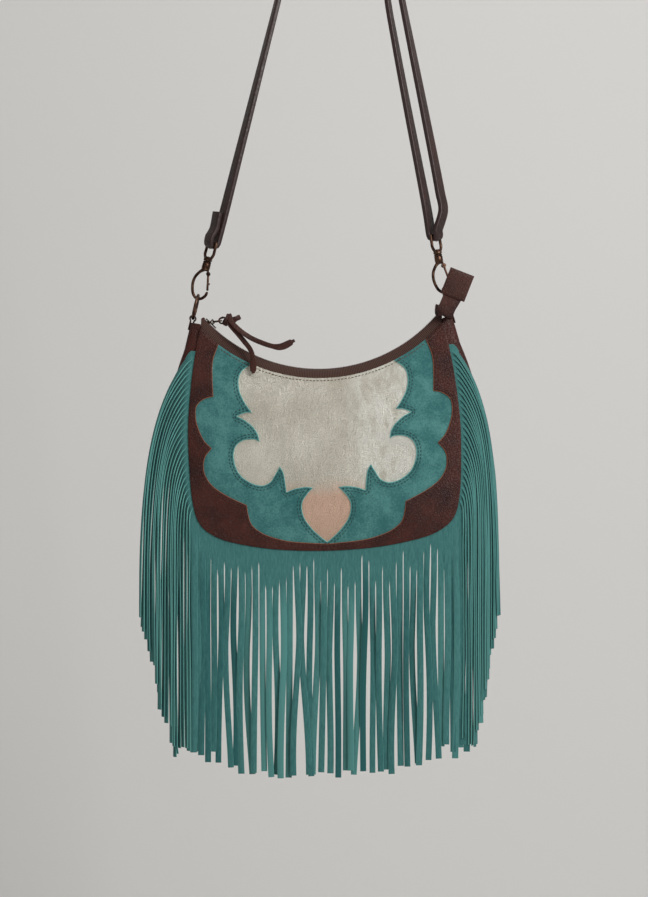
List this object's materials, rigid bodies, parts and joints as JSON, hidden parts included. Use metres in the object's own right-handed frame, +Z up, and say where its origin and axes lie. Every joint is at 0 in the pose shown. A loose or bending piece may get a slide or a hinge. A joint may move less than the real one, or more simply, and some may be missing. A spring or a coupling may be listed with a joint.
{
  "type": "fringed crossbody bag",
  "caption": "Small leather crossbody bag with a scalloped suede and foil inlay, a long suede fringe, a zipped top and a hooked strap, hanging from a peg.",
  "frame": {"origin": "Top of the peg that the strap hangs on, under the middle of the strap's bend.", "axes": "+Z up, -Y the front of the bag, +X to the right seen from the front."},
  "size_m": [0.3568, 0.0628, 0.9807],
  "materials": {
    "brown_leather": "satin",
    "teal_suede": "matte",
    "foil_leather": "metallic",
    "strap_leather": "satin",
    "cloth": "woven",
    "coil": "satin",
    "dark_metal": "antique"
  },
  "bodies": {
    "strap": {"strap": "strap_leather", "strap_rivet": "dark_metal", "strap_keeper": "strap_leather", "left_swivel_eye": "dark_metal", "right_swivel_eye": "dark_metal"},
    "bag": {"front_panel": "brown_leather", "suede_inlay": "teal_suede", "metallic_inlay": "foil_leather", "back_panel": "brown_leather", "gusset": "brown_leather", "lining": "cloth", "fringe": "teal_suede", "zip_tape_front": "cloth", "zip_tape_back": "cloth", "zip_teeth_front": "coil", "zip_teeth_back": "coil", "zip_stop_left": "dark_metal", "zip_stop_right": "dark_metal", "zip_tail": "cloth", "zip_end_tab": "brown_leather", "left_ring": "dark_metal", "right_ring": "dark_metal", "left_ring_tab": "brown_leather", "right_ring_tab": "brown_leather"},
    "left_hook": {"left_hook": "dark_metal"},
    "left_gate": {"left_gate": "dark_metal"},
    "right_hook": {"right_hook": "dark_metal"},
    "right_gate": {"right_gate": "dark_metal"},
    "zip_slider": {"zip_slider": "dark_metal"},
    "zip_pull": {"pull_ring": "dark_metal", "pull_thong": "brown_leather"}
  },
  "joints": [
    {"name": "bag_swing", "type": "hinge", "parent": "strap", "child": "bag", "pos_m": [-0.14541, 0, -0.50073], "axis": [0.9997, 0, 0.0262], "range_deg": [-12, 60], "deforming": ["zip_tail", "zip_end_tab"]},
    {"name": "left_swivel", "type": "hinge", "parent": "strap", "child": "left_hook", "pos_m": [-0.14541, 0, -0.50073], "axis": [0.2554, 0, 0.9668], "range_deg": [-20, 30]},
    {"name": "left_gate_open", "type": "hinge", "parent": "left_hook", "child": "left_gate", "pos_m": [-0.13475, 0, -0.47603], "axis": [0, 1, 0], "range_deg": [0, 20], "stiffness_Nm_per_rad": 0.05, "springref_deg": -5.73},
    {"name": "right_swivel", "type": "hinge", "parent": "strap", "child": "right_hook", "pos_m": [0.10111, 0, -0.49427], "axis": [-0.1616, 0, 0.9869], "range_deg": [-45, 3]},
    {"name": "right_gate_open", "type": "hinge", "parent": "right_hook", "child": "right_gate", "pos_m": [0.10067, 0.00083, -0.46739], "axis": [-0.2052, 0.9781, -0.0336], "range_deg": [0, 20], "stiffness_Nm_per_rad": 0.05, "springref_deg": -5.73},
    {"name": "zip_travel", "type": "hinge", "parent": "bag", "child": "zip_slider", "pos_m": [-0.02428, 0, -0.41603], "axis": [0, -1, 0], "range_deg": [0, 90]},
    {"name": "pull_swing", "type": "hinge", "parent": "zip_slider", "child": "zip_pull", "pos_m": [-0.1304, 0, -0.52401], "axis": [0, -1, 0], "range_deg": [0, 118], "deforming": ["pull_thong"]}
  ]
}
